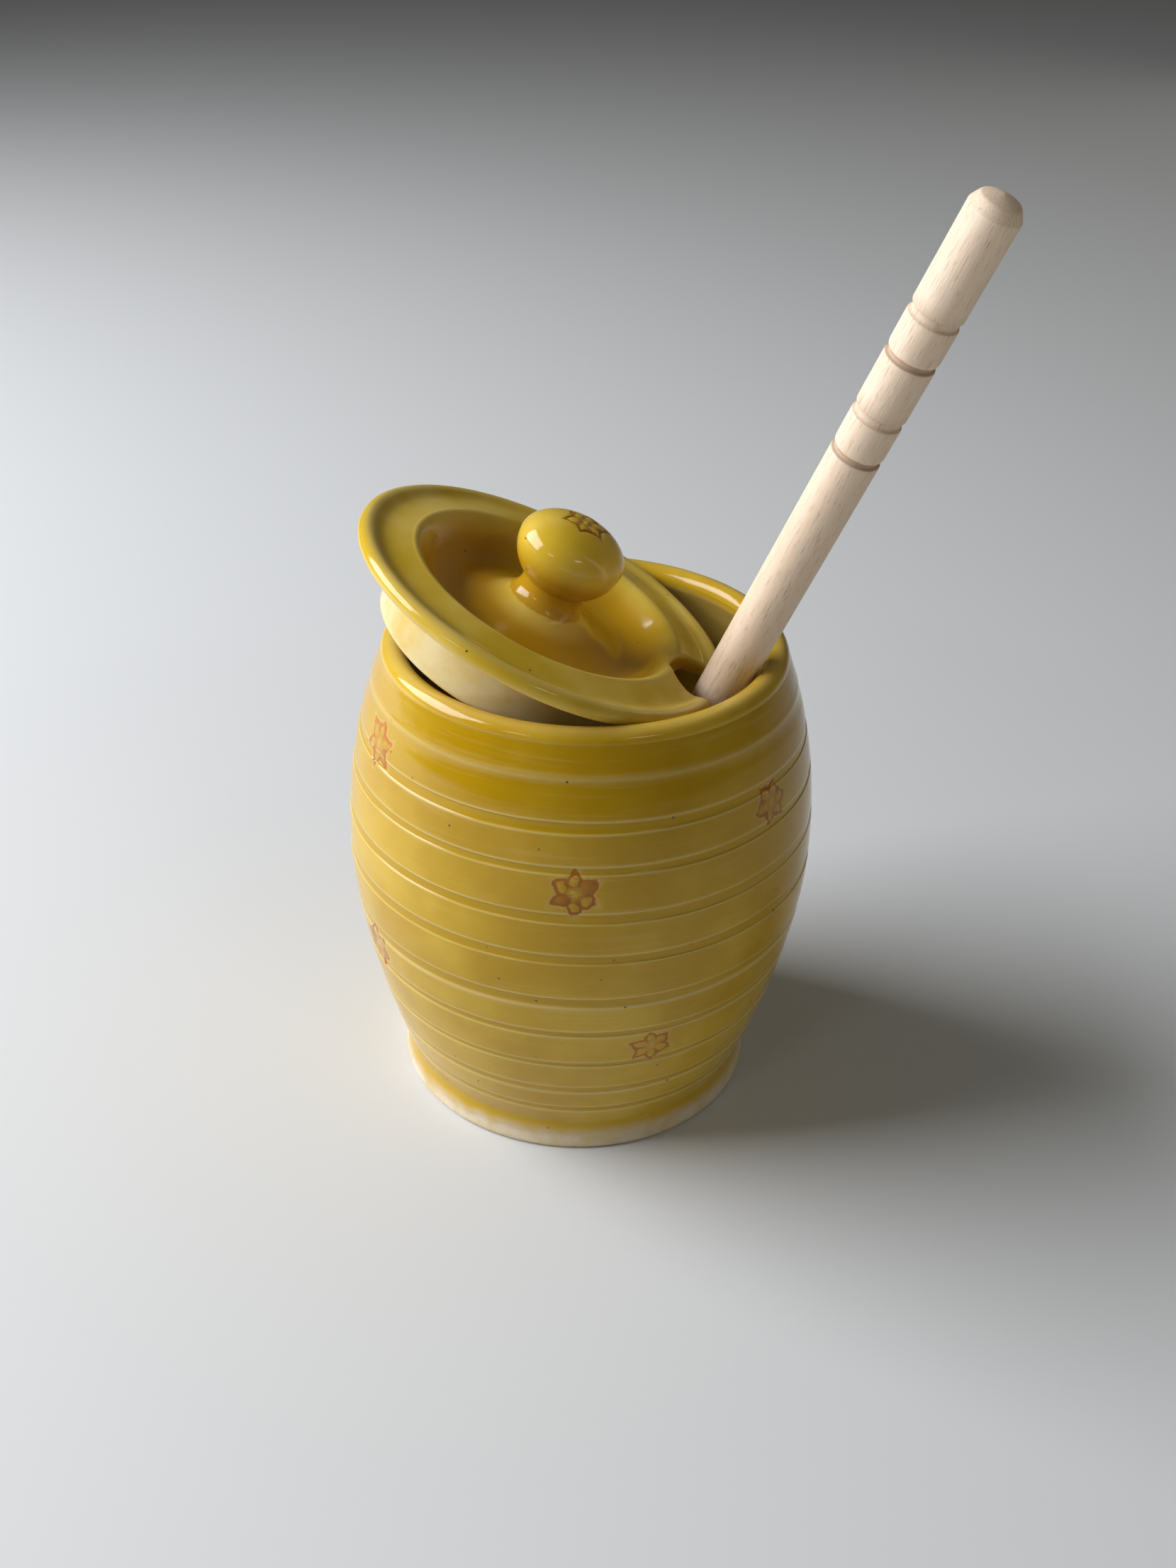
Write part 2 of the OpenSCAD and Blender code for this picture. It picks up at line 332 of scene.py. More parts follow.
def stamp_place(u, v, turn, size, seed):
    """A flower's own two coordinates and its seed, and the place of no flower out of its reach."""
    c, s = math.cos(math.radians(turn)), math.sin(math.radians(turn))
    u, v = np.broadcast_arrays(u, v)
    own = [(u * c + v * s) / size, (v * c - u * s) / size, seed + 0 * u]
    near = (np.hypot(own[0], own[1]) < STAMP_REACH)[..., None]
    return np.where(near, np.stack(own, -1), NO_STAMP)


def pressed(own, seed):
    """1 on the lines of a flower, where the stamp pressed deepest, and 0 away from them."""
    return 1 - smoothstep(*PRESS_SOFT, np.abs(petal_distance(own[..., 0], own[..., 1], seed)))


def angle_from(az, degrees):
    """Angles measured from an azimuth given in degrees, each between minus and plus half a turn."""
    return np.angle(np.exp(1j * (az - math.radians(degrees))))


def wall_radius(z):
    """The pot's outer wall without its rings."""
    below = np.clip(BELLY_Z - z, 0, None) / (BELLY_Z - WAIST_Z)
    above = np.clip(z - BELLY_Z, 0, None) / (LIP_Z - BELLY_Z)
    foot = WAIST_R + (FOOT_R - WAIST_R) * (1 - np.clip(z / WAIST_Z, 0, 1)) ** 2
    lower = BELLY_R - (BELLY_R - WAIST_R) * below ** LOWER_BEND
    upper = BELLY_R - (BELLY_R - LIP_R - LIP_A) * above ** UPPER_BEND
    return np.where(z < WAIST_Z, foot, np.where(z < BELLY_Z, lower, upper))


def glaze_edge(az):
    """Height of the glaze's lower edge round the foot."""
    z = GLAZE_Z + 0.3 * waves(az, 4, 3)
    for at, deep, wide in DRIPS:
        z = z - deep * hump(np.degrees(angle_from(az, at)), 0, wide)
    return z


def row_heights():
    """Heights of the outer wall's rows, close together along the edges of the rings."""
    coarser = 1.0
    edges = np.array([at + side * half for at, half, _ in RINGS for side in (-1, 1)])
    rows = [FOOT_ROUND]
    while rows[-1] < LIP_Z - COARSE_STEP:
        off_edge = float(smoothstep(0.35, 1.1, np.abs(edges - rows[-1]).min()))
        rows.append(rows[-1] + coarser * (FINE_STEP + (COARSE_STEP - FINE_STEP) * off_edge))
    return np.array(rows + [LIP_Z])


def throwing_rings(row_z, az):
    """What the rings take off the wall, the pale lines along their edges, and where glaze pools in them."""
    taken = np.zeros((len(row_z), len(az)))
    pale = np.zeros_like(taken)
    pool_and_shade = np.zeros_like(taken)
    heights = [ring[0] for ring in RINGS] + [RIDGE_Z]
    for low, high in zip(heights, heights[1:]):
        share = np.abs(row_z - (low + high) / 2) / ((high - low) / 2)
        taken += BAND_CROWN * share ** 3 * (share <= 1)
    for k, (at, half, drawn) in enumerate(RINGS):
        wide = half * (1 + RING_WIDE_VARIES * waves(az, 4, 30 + k))
        deep = RING_DEEP * (1 + RING_DEEP_VARIES * waves(az, 4, 50 + k))
        d = row_z - at
        rise = smoothstep(-wide - RING_LOW_SOFT - drawn, -wide + RING_LOW_SOFT, d)
        channel = rise * (1 - smoothstep(wide - RING_HIGH_SOFT, wide + RING_HIGH_SOFT, d))
        gap, soft, strong = UPPER_LINE
        upper = strong * hump(d, wide + gap, soft)
        gap, soft, strong = LOWER_LINE
        lower = hump(d, -wide - gap - 0.8 * drawn, soft + 0.7 * drawn)
        taken += deep * channel - LINE_UP * (upper + lower)
        pale = np.maximum.reduce([pale, upper, strong * lower])
        pool_and_shade = np.maximum(pool_and_shade, smoothstep(0.3, 0.9, channel))
    ridge = hump(row_z, RIDGE_Z, 0.7)
    taken += RIDGE_UP * (hump(row_z, RIDGE_Z - 2.2, 1.4) - ridge)
    return taken, np.maximum(pale, 0.45 * ridge), pool_and_shade


def stamped_flowers(row_z, az):
    """Each point's place in the flower stamped there, and how deep the flowers are pressed."""
    stamp = np.full((len(row_z), len(az), 3), NO_STAMP)
    deep = np.zeros(stamp.shape[:2])
    for at, height, turn, size, seed in STAMPS:
        u = angle_from(az, at) * wall_radius(np.array(height))
        own = stamp_place(u, row_z - height, turn, size, seed)
        stamp = np.where(own < NO_STAMP, own, stamp)
        deep += PRESSED * pressed(own, seed)
    return stamp, deep


def foot_rows(first):
    """The base with its shallow hollow, and the foot's round edge up to the wall's first row."""
    share = np.linspace(0.02, 1, 30)[:, None]
    base_r = share * (first - FOOT_ROUND)
    base_z = 0.22 * (1 - smoothstep(0.84, 0.93, share)) + 0.05 * np.sin(base_r / 1.1) * (share < 0.84)
    turn_in = np.radians(np.linspace(-90, 0, 7))[:-1, None]
    edge_r = first - FOOT_ROUND + FOOT_ROUND * np.cos(turn_in)
    edge_z = FOOT_ROUND + FOOT_ROUND * np.sin(turn_in) + 0 * first
    return np.vstack([base_r, edge_r]), np.vstack([base_z, edge_z])


def lip_rows(last, az):
    """The rounded lip from the wall's last row over to the inside, and how pale it is."""
    over = np.radians(np.linspace(0, 180, 42))[1:, None]
    r = last - LIP_A + LIP_A * np.cos(over)
    z = LIP_Z + LIP_A * np.sin(over) - LIP_DROP * (1 + waves(az, 3, 8)) * np.sin(over)
    return r, z, 0.35 * hump(over, math.radians(75), 0.5) + 0 * r


def inside_rows(first, az):
    """The inside from the lip down, with faint throwing rings, and a spiral on its floor."""
    count = 130
    t = np.linspace(0, 1, count)[1:, None]
    z = LIP_Z + (FLOOR_T + 0.001 - LIP_Z) * (1 - (1 - t) ** 1.15)
    h = z - FLOOR_T
    wall = wall_radius(z) - WALL - INNER_INSET
    corner = np.sqrt(np.clip(FLOOR_ROUND ** 2 - np.clip(FLOOR_ROUND - h, 0, None) ** 2, 0, None))
    r = wall - FLOOR_ROUND + corner + (first - wall[0]) * (1 - smoothstep(0, 0.08, t))
    rings = INNER_RING_DEEP * (1 + np.sin(z / 0.95 + az))
    r = r - rings * smoothstep(0.02, 0.2, t) * smoothstep(0, 8, h)
    share = np.linspace(1, 0.02, 34)[1:, None]
    floor_r = share * r[-1]
    floor_z = FLOOR_T + 0.2 + 0.2 * np.sin(floor_r / 1.3 + az) * (1 - smoothstep(0.8, 1, share))
    return np.vstack([r, floor_r]), np.vstack([z + 0 * r, floor_z])


def make_pot():
    around = 720
    az = np.linspace(0, 2 * math.pi, around, endpoint=False)
    row_z = row_heights()[:, None]
    (first_by, first_over), (second_by, second_over) = WANDER
    wander = (first_by * waves(az, 3, 21) * np.sin(row_z / first_over)
              + second_by * waves(az, 3, 22) * np.cos(row_z / second_over))
    z = row_z + wander * smoothstep(2, 12, row_z) * (1 - smoothstep(94, 101, row_z))
    taken, pale, pool_and_shade = throwing_rings(row_z, az)
    stamp, deep = stamped_flowers(row_z, az)
    r = wall_radius(z) - WALL_INSET - OUT_OF_ROUND * waves(az, 3, 5) * smoothstep(8, 40, row_z)
    r -= taken + deep
    # The glaze ends in a thick edge above the bare foot
    clay = z - glaze_edge(az)
    r += GLAZE_BEAD * hump(clay, 0.3, 0.7) - GLAZE_THICK * (1 - smoothstep(-1.2, 0.5, clay))
    foot_r, foot_z = foot_rows(r[0])
    lip_r, lip_z, lip_pale = lip_rows(r[-1], az)
    in_r, in_z = inside_rows(lip_r[-1], az)

    def whole(wall, foot, lip, inside):
        """An attribute of all the rows, from its values on the wall, the foot, the lip and the inside."""
        parts = ((foot, foot_r), (wall, r), (lip, lip_r), (inside, in_r))
        return np.concatenate([np.broadcast_to(value, rows.shape + wall.shape[2:]) for value, rows in parts])

    return turned("pot_glazed", whole(r, foot_r, lip_r, in_r), whole(z, foot_z, lip_z, in_z), {
        "pale": whole(pale, 0, lip_pale, 0.45 * smoothstep(70, 92, in_z)),
        "pool_and_shade": whole(pool_and_shade, 0, 0, 0.1 + 0.7 * (1 - smoothstep(FLOOR_T, 60, in_z))),
        "stamp": whole(stamp, NO_STAMP, NO_STAMP, NO_STAMP),
        "clay": whole(clay, BARE, GLAZED, GLAZED),
        "thin": whole(0 * z, 0, 0, 0),
        # Darker amber toward the top of the wall: painted shade for the dark surroundings the shoulder
        # reflects
        "amber": whole(0.55 * smoothstep(62, 99, z), 0, 0, 0),
    })


def bent(points, steps):
    """A smooth curve through a few points, each stretch a cubic whose slopes follow its neighbours."""
    p = np.asarray(points, float)
    out = []
    for i in range(len(p) - 1):
        a, b, c, d = p[max(i - 1, 0)], p[i], p[i + 1], p[min(i + 2, len(p) - 1)]
        for k in range(steps):
            t = k / steps
            out.append(0.5 * (2 * b + (c - a) * t + (2 * a - 5 * b + 4 * c - d) * t ** 2
                              + (3 * b - a - 3 * c + d) * t ** 3))
    return np.array(out + [p[-1]])


def arc(centre, radii, start, stop, count):
    """Points along an arc of an ellipse, between two angles in degrees."""
    a = np.radians(np.linspace(start, stop, count))
    return np.stack([centre[0] + radii[0] * np.cos(a), centre[1] + radii[1] * np.sin(a)], -1)


def lid_outline():
    """Radius and height of the lid's outline, from the underside round to the top of the knob."""
    neck_angle = math.degrees(math.acos(NECK_R / KNOB_R))
    neck_top = KNOB_Z - KNOB_LOW * math.sin(math.radians(neck_angle))
    dish = bent([
        [FLANGE_R - EDGE_A - 0.8, EDGE_A - 0.1], [(FLANGE_R + RIDGE_R) / 2 + 0.6, EDGE_A - 0.8],
        [RIDGE_R + 1.2, RIDGE_H - 0.2], [RIDGE_R, RIDGE_H], [RIDGE_R - 1.6, RIDGE_H - 1],
        [RIDGE_R - 5, DISH_H + 1.6], [RIDGE_R - 9.4, DISH_H], [NECK_R + 7.5, DISH_H + 1.3],
        [NECK_R + 3.2, DISH_H + 3.4], [NECK_R + 1, DISH_H + 5.2], [NECK_R, neck_top - 2],
        [NECK_R + 0.05, neck_top]], 14)
    return np.vstack([
        [[0, COLLAR_LOW]],
        arc((COLLAR_R - COLLAR_ROUND, COLLAR_LOW + COLLAR_ROUND), (COLLAR_ROUND,) * 2, -90, 0, 12),
        arc((COLLAR_R + 1.0, -EDGE_A - 1.0), (1.0, 1.0), 180, 90, 8),
        arc((FLANGE_R - EDGE_A, 0), (EDGE_A,) * 2, -90, 90, 32),
        dish,
        arc((0, KNOB_Z), (KNOB_R, KNOB_LOW), -neck_angle, 0, 30)[1:],
        arc((0, KNOB_Z), (KNOB_R, CROWN_H), 0, 90, 50)[1:],
    ])


def outline_table(outline, cell):
    """Signed distance to a closed outline, on a grid over radius and height. Negative inside."""
    closed = np.vstack([outline, outline[:1]])
    a, b = closed[:-1], closed[1:]
    low = np.array([0.0, outline[:, 1].min() - 3])
    high = np.array([outline[:, 0].max() + 3, outline[:, 1].max() + 3])
    n = np.ceil((high - low) / cell).astype(int) + 1
    gr, gh = np.meshgrid(low[0] + cell * np.arange(n[0]), low[1] + cell * np.arange(n[1]), indexing="ij")
    best = np.full(gr.shape, 1e9)
    inside = np.zeros(gr.shape, bool)
    for p, q in zip(a, b):
        on_axis = p[0] < 1e-6 and q[0] < 1e-6
        e = q - p
        t = np.clip(((gr - p[0]) * e[0] + (gh - p[1]) * e[1]) / max(e @ e, 1e-12), 0, 1)
        if not on_axis:
            best = np.minimum(best, np.hypot(gr - p[0] - t * e[0], gh - p[1] - t * e[1]))
        cross = (p[1] > gh) != (q[1] > gh)
        with np.errstate(divide="ignore", invalid="ignore"):
            at = p[0] + (gh - p[1]) / (q[1] - p[1]) * e[0]
        inside ^= cross & (gr < at)
    return low, cell, np.where(inside, -best, best)


def look_up(table, r, h):
    """Distances read from an outline's table, blended between its cells."""
    low, cell, grid = table
    x = np.clip((r - low[0]) / cell, 0, grid.shape[0] - 1.001)
    y = np.clip((h - low[1]) / cell, 0, grid.shape[1] - 1.001)
    i, j = x.astype(int), y.astype(int)
    u, v = x - i, y - j
    return ((1 - u) * (1 - v) * grid[i, j] + u * (1 - v) * grid[i + 1, j]
            + (1 - u) * v * grid[i, j + 1] + u * v * grid[i + 1, j + 1])


def notch_distance(x, y):
    """Signed distance to the notch seen from above, negative inside it."""
    c, s = math.cos(NOTCH_AZ), math.sin(NOTCH_AZ)
    along = c * x + s * y - NOTCH_END - NOTCH_R
    across = -s * x + c * y
    lean = NOTCH_FLARE / (FLANGE_R + 2 - NOTCH_END - NOTCH_R)
    side = (np.abs(across) - NOTCH_R - lean * np.clip(along, 0, None)) / math.hypot(1, lean)
    return np.where(along < 0, np.hypot(along, across) - NOTCH_R, side)


def smooth_max(a, b, soft):
    """The larger of two distances, with a rounded change from one to the other."""
    t = np.clip(0.5 + 0.5 * (a - b) / soft, 0, 1)
    return b + (a - b) * t + soft * t * (1 - t)


def surface_net(field, low, step):
    """Points and quads where a grid of signed distances crosses zero."""
    n = np.array(field.shape) - 1
    corners = [(i, j, k) for i in (0, 1) for j in (0, 1) for k in (0, 1)]
    cell = {c: field[c[0]:c[0] + n[0], c[1]:c[1] + n[1], c[2]:c[2] + n[2]] for c in corners}
    count = sum((cell[c] < 0).astype(np.int8) for c in corners)
    mixed = (count > 0) & (count < 8)
    index = np.full(mixed.shape, -1)
    index[mixed] = np.arange(mixed.sum())
    total = np.zeros((int(mixed.sum()), 3))
    hits = np.zeros(int(mixed.sum()))
    for a in corners:
        for axis in range(3):
            if a[axis] == 0:
                b = tuple(v + (k == axis) for k, v in enumerate(a))
                fa, fb = cell[a][mixed], cell[b][mixed]
                cross = (fa < 0) != (fb < 0)
                t = fa[cross] / (fa[cross] - fb[cross])
                at = np.tile(np.array(a, float), (cross.sum(), 1))
                at[:, axis] += t
                total[cross] += at
                hits[cross] += 1
    points = low + step * (np.argwhere(mixed) + total / hits[:, None])
    quads = []
    for axis in range(3):
        u, v = (axis + 1) % 3, (axis + 2) % 3
        inner = [slice(1, -1)] * 3
        inner[axis] = slice(0, -1)
        far = list(inner)
        far[axis] = slice(1, None)
        here = field[tuple(inner)] < 0
        there = field[tuple(far)] < 0
        for flip, chosen in ((False, here & ~there), (True, ~here & there)):
            at = np.argwhere(chosen) + np.array([0 if k == axis else 1 for k in range(3)])
            ring = []
            for du, dv in ((1, 1), (0, 1), (0, 0), (1, 0)):
                p = at.copy()
                p[:, u] -= du
                p[:, v] -= dv
                ring.append(index[p[:, 0], p[:, 1], p[:, 2]])
            quad = np.stack(ring, -1)
            quads.append(quad[:, ::-1] if flip else quad)
    return points, np.vstack(quads)


def sampled(distance, low, high, step):
    """A field of signed distances on a grid between two corners."""
    n = np.ceil((high - low) / step).astype(int) + 1
    x, y = np.meshgrid(low[0] + step * np.arange(n[0]), low[1] + step * np.arange(n[1]), indexing="ij")
    levels = low[2] + step * np.arange(n[2])
    layers = [distance(np.stack([x, y, np.full_like(x, h)], -1)) for h in levels]
    return np.stack(layers, -1).astype(np.float32)


def settled(points, distance):
    """The points after three steps down the slope of the distance, onto the surface."""
    tiny = 0.06
    for _ in range(3):
        d = np.clip(distance(points), -0.4, 0.4)
        rise = [distance(points + tiny * e) - distance(points - tiny * e) for e in np.eye(3)]
        slope = np.stack(rise, -1) / (2 * tiny)
        points = points - d[:, None] * slope / np.maximum((slope ** 2).sum(-1), 0.25)[:, None]
    return points


def crown_place(x, y):
    """Places in the flower stamped on the knob's crown."""
    return stamp_place(x - CROWN_STAMP[0], y - CROWN_STAMP[1], *CROWN_STAMP[2:])


def lid_distance(p, table):
    """Signed distance to the lid: its outline turned, a little out of round, stamped and notched."""
    x, y, h = p[..., 0], p[..., 1], p[..., 2]
    az = np.arctan2(y, x)
    r = np.hypot(x, y)
    sag = LID_SAG * (1 + np.cos(2 * az + 0.7)) * smoothstep(20, 38, r) * (h > -6)
    fat = LID_FAT * (1 + np.cos(3 * az + 2.0)) * smoothstep(12, 30, r)
    d = look_up(table, r + fat, h + sag)
    d = d + CROWN_PRESSED * pressed(crown_place(x, y), CROWN_STAMP[4]) * (h > KNOB_Z + 3)
    return smooth_max(d, -notch_distance(x, y), NOTCH_SOFT)


def lid_marks(points):
    """The lid's attributes: where its glaze breaks pale, with a painted reflection along the ridge, where it
    pools, where shade is painted under the knob and on the notch walls, and where it is thin on the washed
    collar.
    """
    x, y, h = points.T
    az = np.arctan2(y, x)
    r = np.hypot(x, y)
    cut = notch_distance(x, y)
    rim = hump(r, 38.9 + 0.3 * np.cos(3 * az), 0.9) * (h > 0.4)
    # Pale along the dish's ridge: partly the glaze breaking over it, partly a painted reflection
    ridge = hump(r, RIDGE_R - 0.1, 0.6) * (h > 0.4)
    under = hump(h, -1.2, 0.35) * (r > 38.5)
    lips = hump(cut, 0.3, 0.35) * hump(np.abs(h), 1.7, 0.6) * (r > 26)
    in_dish = (r < RIDGE_R - 0.3) & (h > DISH_H - 2)
    dish = smoothstep(1.6, -3.5, h) * smoothstep(NECK_R, NECK_R + 6, r) * in_dish
    # Painted shade on the knob's underside and neck, partly also pooled glaze
    knob_foot_shade = smoothstep(12, 7, h) * (h > 0) * (r < KNOB_R + 1)
    # Painted shade on the notch's walls, partly also pooled glaze
    notch_wall_shade = smoothstep(0.6, 0.1, cut) * (np.abs(h) < 2.2)
    collar = (r > COLLAR_R - 1) | (h < COLLAR_LOW + 2)
    return {
        "pale": np.maximum.reduce([0.6 * rim, 0.21 * ridge, 0.6 * under, 0.9 * lips]),
        "pool_and_shade": np.maximum.reduce([0.9 * dish, 0.85 * knob_foot_shade, 0.9 * notch_wall_shade]),
        "stamp": np.where((h > KNOB_Z + 2)[:, None], crown_place(x, y), NO_STAMP),
        "clay": np.where(h < COLLAR_LOW + 0.5, -0.5, GLAZED),
        "thin": smoothstep(-EDGE_A - 0.3, -EDGE_A - 2.2, h) * collar,
        "amber": np.full_like(h, LID_AMBER),
    }


def far_end(node, axis):
    """The vertex of a CAD node that lies furthest along an axis."""
    co = np.array([v.co for v in frame["nodes"][node].data.vertices])
    return Vector(co[np.argmax(co @ np.array(axis))])


def make_lid():
    table = outline_table(lid_outline(), TABLE_CELL)
    step = LID_STEP
    low = np.array([-FLANGE_R - 2, -FLANGE_R - 2, COLLAR_LOW - 2])
    high = np.array([FLANGE_R + 2, FLANGE_R + 2, KNOB_Z + CROWN_H + 2])

    def distance(p):
        return lid_distance(p, table)

    points, quads = surface_net(sampled(distance, low, high, step), low, step)
    points = settled(points, distance)
    axis = Vector((math.sin(LID_TILT), 0, math.cos(LID_TILT)))
    at = far_end("lid", axis) - axis * (KNOB_Z + CROWN_H) * MM
    return make_mesh("lid_glazed", points, [quads], lid_marks(points), Matrix.Rotation(LID_TILT, 3, "Y"), at)


def head_reach(s):
    """Radius that the head's discs reach at a height, as on a barrel."""
    return HEAD_R * np.sqrt(np.clip(1 - ((s - HEAD_L / 2) / (HEAD_SWELL * HEAD_L)) ** 2, 0, None))


def head_rows():
    """Height and radius along the grooved head: discs with soft edges, and the core between them."""
    pitch = HEAD_L / (HEAD_GROOVES + 1 - HEAD_GROOVE_PART)
    disc = pitch * (1 - HEAD_GROOVE_PART)
    soft = DISC_SOFT
    root = HEAD_CORE_R + 0.7
    corner = np.radians((30, 60, 90))
    rows = [[0.0, 0.4]]
    for k in range(HEAD_GROOVES + 1):
        s = k * pitch
        low, high = head_reach(s + soft), head_reach(s + disc - soft)
        inner = root if k else 0.8
        if k:
            rows += [[s - 0.15, HEAD_CORE_R + 0.02], [s, HEAD_CORE_R + 0.35]]
        rows += [[s + 0.02 * share, inner + (low - soft - inner) * share] for share in np.linspace(0, 1, 6)]
        rows += [[s + soft * (1 - math.cos(a)), low - soft + soft * math.sin(a)] for a in corner]
        for share in (0.3, 0.7, 1.0):
            at = s + soft + (disc - 2 * soft) * share
            rows.append([at, head_reach(at)])
        rows += [[s + disc - soft + soft * math.sin(a), high - soft + soft * math.cos(a)] for a in corner]
        if k < HEAD_GROOVES:
            rows += [[s + disc - 0.02 * share, high - soft + (root - high + soft) * share]
                     for share in np.linspace(0, 1, 5)]
            rows += [[s + disc, HEAD_CORE_R + 0.35], [s + disc + 0.15, HEAD_CORE_R + 0.02]]
    return rows


def cut_rows(cut, wide):
    """Height and radius across a groove of the handle: a wide one is square, a sharp one has a soft edge."""
    half, deep = (WIDE_CUT if wide else SHARP_CUT)[:2]
    rows = [[cut - half - 0.9, HANDLE_R], [cut - half - 0.35, HANDLE_R - 0.02],
            [cut - half - 0.06, HANDLE_R - 0.12], [cut - half, HANDLE_R - deep],
            [cut, HANDLE_R - deep - 0.03], [cut + half, HANDLE_R - deep]]
    if wide:
        return rows + [[cut + half + 0.05, HANDLE_R - 0.05], [cut + half + 0.15, HANDLE_R]]
    return rows + [[cut + half + 0.1, HANDLE_R - 0.3], [cut + half + 0.35, HANDLE_R - 0.12],
                   [cut + half + 0.75, HANDLE_R - 0.03], [cut + half + 1.2, HANDLE_R]]


def dipper_outline():
    """Height and radius of the dipper's outline, from the tip of its head to the end of its handle."""
    rows = head_rows()
    rows += bent([[HEAD_L - 0.02, HEAD_CORE_R + 0.4], [HEAD_L + 0.6 * NECK_L, HANDLE_R + 0.3],
                  [HEAD_L + NECK_L, HANDLE_R]], 6).tolist()
    at = HEAD_L + NECK_L
    for back, wide in reversed(CUTS):
        cut = DIPPER_L - back
        half = (WIDE_CUT if wide else SHARP_CUT)[0]
        rows += [[s, HANDLE_R] for s in np.arange(at + ROW_STEP, cut - half - 1.2, ROW_STEP)]
        rows += cut_rows(cut, wide)
        at = cut + half + 1.2
    rows += [[s, HANDLE_R] for s in np.arange(at + ROW_STEP, DIPPER_L - 3.6, ROW_STEP)]
    rows += bent([[DIPPER_L - 3.1, HANDLE_R], [DIPPER_L - 2.7, HANDLE_R - 0.12],
                  [DIPPER_L - 1.2, HANDLE_R - 1.05], [DIPPER_L - 0.75, HANDLE_R - 1.8],
                  [DIPPER_L - 0.33, HANDLE_R - 3.2], [DIPPER_L - 0.02, 0.15]], 5).tolist()
    return np.array(rows)


def make_dipper():
    around = 128
    rows = dipper_outline()
    az = np.linspace(0, 2 * math.pi, around, endpoint=False)
    s = rows[:, :1] + 0 * az
    r = rows[:, 1:] * (1 - 0.004 * (1 + np.cos(2 * az + 0.6)))
    fibre = 0.012 * waves(az, 30, 77, 9) * np.cos(s / 31 + 3 * np.cos(az))
    r = r - np.abs(fibre) * (rows[:, 1:] > 1)
    # Painted shade along the handle's grooves
    shade = np.zeros_like(r)
    for back, wide in CUTS:
        shade_reach, strong = (WIDE_CUT if wide else SHARP_CUT)[2:]
        shade = np.maximum(shade, strong * (np.abs(s - DIPPER_L + back) < shade_reach))
    axis = Vector(next(j["axis"] for j in frame["joints"] if j["child"] == "dipper")).normalized()
    turn = Matrix.Rotation(math.atan2(axis.y, axis.x), 3, "Z") @ Matrix.Rotation(math.acos(axis.z), 3, "Y")
    at = far_end("dipper", axis) - axis * DIPPER_L * MM
    return turned("dipper_turned", r, s, {"shade": shade}, turn, at)


class Shader:
    """A material's node tree, with short calls for the nodes used here."""

    def __init__(self, name):
        self.material = bpy.data.materials.new(name)
        self.material.use_nodes = True
        self.nodes = self.material.node_tree.nodes
        self.links = self.material.node_tree.links
        self.surface = self.nodes["Principled BSDF"]
        self.place = self.attribute("place", "Vector")

    def put(self, socket, value):
        if isinstance(value, bpy.types.NodeSocket):
            self.links.new(value, socket)
        elif isinstance(value, tuple) and socket.type == "RGBA":
            socket.default_value = (*value, 1)
        else:
            socket.default_value = value

    def node(self, kind, values=None, **settings):
        made = self.nodes.new(kind)
        for key, value in settings.items():
            setattr(made, key, value)
        for key, value in (values or {}).items():
            self.put(made.inputs[key], value)
        return made

    def attribute(self, name, output="Fac"):
        return self.node("ShaderNodeAttribute", attribute_name=name).outputs[output]

    def calc(self, operation, a, b=0.0, c=0.0):
        return self.node("ShaderNodeMath", {0: a, 1: b, 2: c}, operation=operation).outputs[0]

    def times(self, a, b):
        return self.calc("MULTIPLY", a, b)

    def step(self, value, low, high, start=0.0, stop=1.0):
        made = self.node("ShaderNodeMapRange", {
            "Value": value, "From Min": low, "From Max": high, "To Min": start, "To Max": stop},
            interpolation_type="SMOOTHSTEP")
        return made.outputs["Result"]

    def mix(self, share, a, b):
        made = self.node("ShaderNodeMix", data_type="RGBA")
        for socket, value in zip((made.inputs[0], made.inputs[6], made.inputs[7]), (share, a, b)):
            self.put(socket, value)
        return made.outputs[2]

    def scaled(self, stretch):
        return self.node("ShaderNodeMapping", {"Vector": self.place, "Scale": Vector(stretch)}).outputs[0]

    def noise(self, scale, detail=3.0, roughness=0.55, stretch=(1, 1, 1)):
        made = self.node("ShaderNodeTexNoise", {
            "Vector": self.scaled([scale * k for k in stretch]), "Scale": 1.0,
            "Detail": detail, "Roughness": roughness})
        return made.outputs["Fac"]

    def specks(self, scale, size, share):
        """1 in small round specks scattered over the surface, 0 elsewhere."""
        cells = self.node("ShaderNodeTexVoronoi", {"Vector": self.scaled((scale,) * 3), "Scale": 1.0})
        chosen = self.node("ShaderNodeSeparateColor", {"Color": cells.outputs["Color"]})
        some = self.calc("LESS_THAN", chosen.outputs[0], share)
        return self.times(self.step(cells.outputs["Distance"], size, size * 0.5), some)


